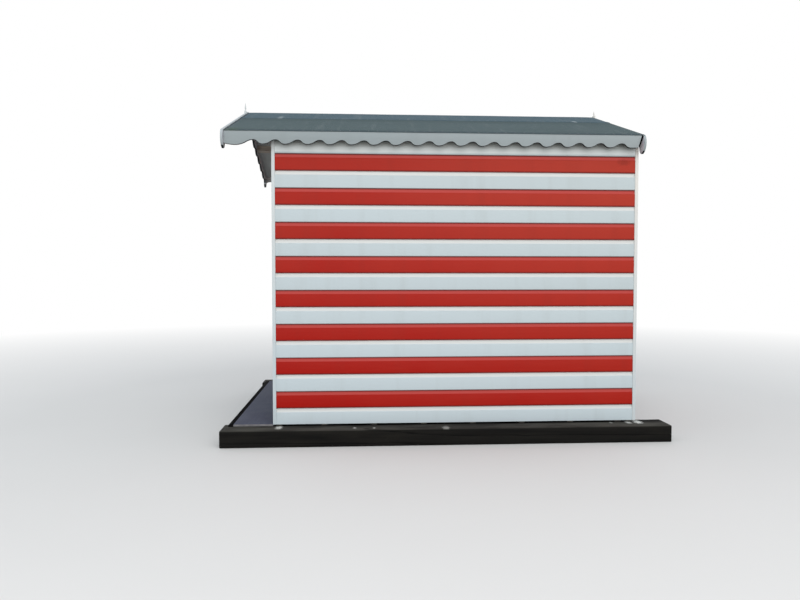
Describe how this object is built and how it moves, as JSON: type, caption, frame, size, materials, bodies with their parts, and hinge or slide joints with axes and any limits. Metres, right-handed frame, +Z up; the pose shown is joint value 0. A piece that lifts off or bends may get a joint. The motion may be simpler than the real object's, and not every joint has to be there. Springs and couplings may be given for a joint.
{
  "type": "beach hut",
  "caption": "Small timber beach hut with striped shiplap walls, a felted gable roof with scalloped trim, double doors and a deck on sleepers.",
  "frame": {"origin": "on the ground under the middle of the whole outline: half-way across the hut and half-way along the sleepers", "axes": "+Z up, the front with the doors faces -Y, +X is the hut's right side seen from the front"},
  "size_m": [2.72, 3.71, 3.0651],
  "materials": {
    "weathered_sleeper": "dark weathered timber, rough",
    "joist_timber": "grey unpainted softwood",
    "floor_timber": "plain softwood boards",
    "deck_paint": "purple-grey deck paint, worn",
    "frame_timber": "sawn softwood",
    "striped_boards": "red and white gloss paint on shiplap boards",
    "white_trim": "white gloss paint",
    "door_paint": "white gloss paint",
    "black_iron": "black painted iron",
    "roof_timber": "brown-grey softwood",
    "roof_felt": "grey-green mineral felt, rough"
  },
  "bodies": {
    "root": {"right_sleeper": "weathered_sleeper", "middle_sleeper": "weathered_sleeper", "left_sleeper": "weathered_sleeper", "floor_joists": "joist_timber", "floor_boards": "floor_timber", "deck_boards": "deck_paint", "right_wall_frame": "frame_timber", "left_wall_frame": "frame_timber", "back_wall_frame": "frame_timber", "front_right_frame": "frame_timber", "front_left_frame": "frame_timber", "front_gable_frame": "frame_timber", "right_cladding": "striped_boards", "left_cladding": "striped_boards", "back_cladding": "striped_boards", "front_right_cladding": "striped_boards", "front_left_cladding": "striped_boards", "front_gable_cladding": "striped_boards", "front_right_corner": "white_trim", "front_left_corner": "white_trim", "back_right_corner": "white_trim", "back_left_corner": "white_trim", "right_door_trim": "white_trim", "left_door_trim": "white_trim", "door_head_trim": "white_trim", "door_sill": "white_trim", "right_door": "door_paint", "left_door": "door_paint", "door_ironwork": "black_iron", "ridge_beam": "roof_timber", "right_purlin": "roof_timber", "left_purlin": "roof_timber", "right_roof_boards": "roof_timber", "left_roof_boards": "roof_timber", "right_felt": "roof_felt", "left_felt": "roof_felt", "ridge_felt": "roof_felt", "right_fascia": "white_trim", "left_fascia": "white_trim", "front_right_bargeboard": "white_trim", "front_left_bargeboard": "white_trim", "back_right_bargeboard": "white_trim", "back_left_bargeboard": "white_trim", "front_finial": "white_trim", "back_finial": "white_trim"}
  },
  "joints": []
}
